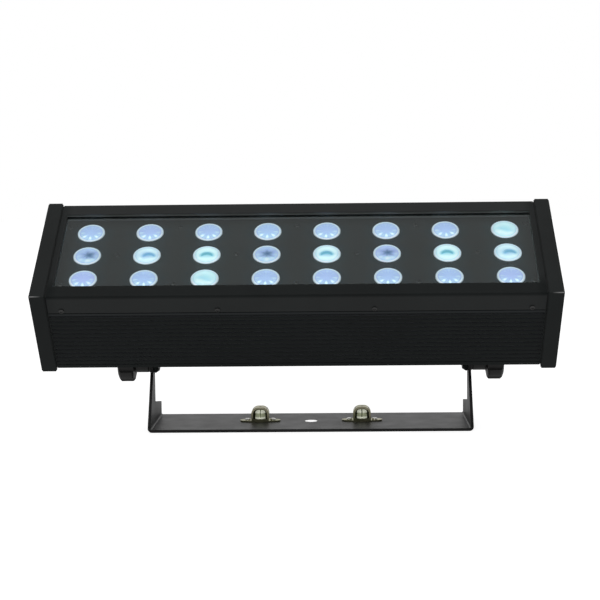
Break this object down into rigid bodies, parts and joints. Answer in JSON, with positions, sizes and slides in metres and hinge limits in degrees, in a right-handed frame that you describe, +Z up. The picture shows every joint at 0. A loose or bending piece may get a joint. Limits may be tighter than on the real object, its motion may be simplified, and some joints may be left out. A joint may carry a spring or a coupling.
{
  "type": "led strip batten",
  "caption": "Stage lamp: a long ribbed housing with rows of lenses behind a cover glass, tilting in a U-shaped yoke that stands on its base and is clamped by a knob at each end.",
  "frame": {"origin": "centre of the clamp-bolt hole, on the underside of the yoke's base", "axes": "+X runs along the batten, -Y is the side that the lamp faces, +Z is up"},
  "size_m": [0.515, 0.1769, 0.2319],
  "materials": {
    "yoke_paint": "satin powder coat",
    "black_paint": "fine satin black powder coat over aluminium",
    "mask_paint": "matt dark grey paint over aluminium",
    "knob_plastic": "moulded, slightly glossy",
    "holder_plastic": "matt",
    "rubber": "matt",
    "screw_steel": "zinc plated",
    "cam_steel": "bright",
    "zinc_plate": "yellow zinc plated",
    "psu_steel": "plain",
    "spreader_aluminium": "plain",
    "cover_glass": "clear",
    "lens_acrylic": "clear acrylic, pale blue",
    "emitter": "phosphor yellow",
    "board_white": "white solder mask",
    "board_green": "green solder mask",
    "wire_red": "insulated wire",
    "window_plastic": "dark, smooth",
    "button_rubber": "soft",
    "socket_blue": "moulded",
    "socket_grey": "moulded",
    "socket_black": "moulded"
  },
  "bodies": {
    "yoke": {"yoke": "yoke_paint", "receptacle_left": "zinc_plate", "receptacle_right": "zinc_plate", "receptacle_cam_left": "cam_steel", "receptacle_cam_right": "cam_steel", "receptacle_rivets": "zinc_plate"},
    "knob_left": {"knob_left": "knob_plastic", "knob_stud_left": "screw_steel", "knob_washer_left": "knob_plastic"},
    "knob_right": {"knob_right": "knob_plastic", "knob_stud_right": "screw_steel", "knob_washer_right": "knob_plastic"},
    "button_1": {"menu_button_1": "button_rubber"},
    "button_2": {"menu_button_2": "button_rubber"},
    "button_3": {"menu_button_3": "button_rubber"},
    "button_4": {"menu_button_4": "button_rubber"},
    "head": {"friction_washer_left": "rubber", "friction_washer_right": "rubber", "pivot_lug_left": "black_paint", "pivot_lug_right": "black_paint", "lug_bolts": "screw_steel", "slot_nuts": "screw_steel", "housing_body": "black_paint", "end_cap_left": "black_paint", "end_cap_right": "black_paint", "end_gasket_left": "rubber", "end_gasket_right": "rubber", "end_cap_screws": "screw_steel", "bezel_frame": "black_paint", "bezel_screws": "screw_steel", "cover_glass": "cover_glass", "glass_gasket": "rubber", "mask_plate": "mask_paint", "mask_screws": "screw_steel", "mask_standoffs": "zinc_plate", "lens_column_1": "lens_acrylic", "lens_column_2": "lens_acrylic", "lens_column_3": "lens_acrylic", "lens_column_4": "lens_acrylic", "lens_column_5": "lens_acrylic", "lens_column_6": "lens_acrylic", "lens_column_7": "lens_acrylic", "lens_column_8": "lens_acrylic", "lens_holders": "holder_plastic", "led_emitters": "emitter", "led_board": "board_white", "board_screws": "screw_steel", "heat_spreader": "spreader_aluminium", "power_supply": "psu_steel", "control_board": "board_green", "board_standoffs": "zinc_plate", "wiring_loom": "wire_red", "rear_panel": "black_paint", "panel_screws": "screw_steel", "display_window": "window_plastic", "display_board": "board_green", "power_inlet": "socket_blue", "power_outlet": "socket_grey", "data_inlet": "socket_black", "data_outlet": "socket_black"}
  },
  "joints": [
    {"name": "tilt", "type": "hinge", "parent": "yoke", "child": "head", "pos_m": [0, -0.009, 0.0675], "axis": [1, 0, 0], "range_deg": [-81.4, 53.6]},
    {"name": "knob_left_turn", "type": "hinge", "parent": "head", "child": "knob_left", "pos_m": [0, -0.009, 0.0675], "axis": [-1, 0, 0], "range_deg": [0, 270]},
    {"name": "knob_right_turn", "type": "hinge", "parent": "head", "child": "knob_right", "pos_m": [0, -0.009, 0.0675], "axis": [1, 0, 0], "range_deg": [0, 270]},
    {"name": "press_button_1", "type": "slide", "parent": "head", "child": "button_1", "axis": [0, -0.8049, -0.5934], "range_m": [0, 0.0012], "stiffness_N_per_m": 500},
    {"name": "press_button_2", "type": "slide", "parent": "head", "child": "button_2", "axis": [0, -0.8049, -0.5934], "range_m": [0, 0.0012], "stiffness_N_per_m": 500},
    {"name": "press_button_3", "type": "slide", "parent": "head", "child": "button_3", "axis": [0, -0.8049, -0.5934], "range_m": [0, 0.0012], "stiffness_N_per_m": 500},
    {"name": "press_button_4", "type": "slide", "parent": "head", "child": "button_4", "axis": [0, -0.8049, -0.5934], "range_m": [0, 0.0012], "stiffness_N_per_m": 500}
  ]
}
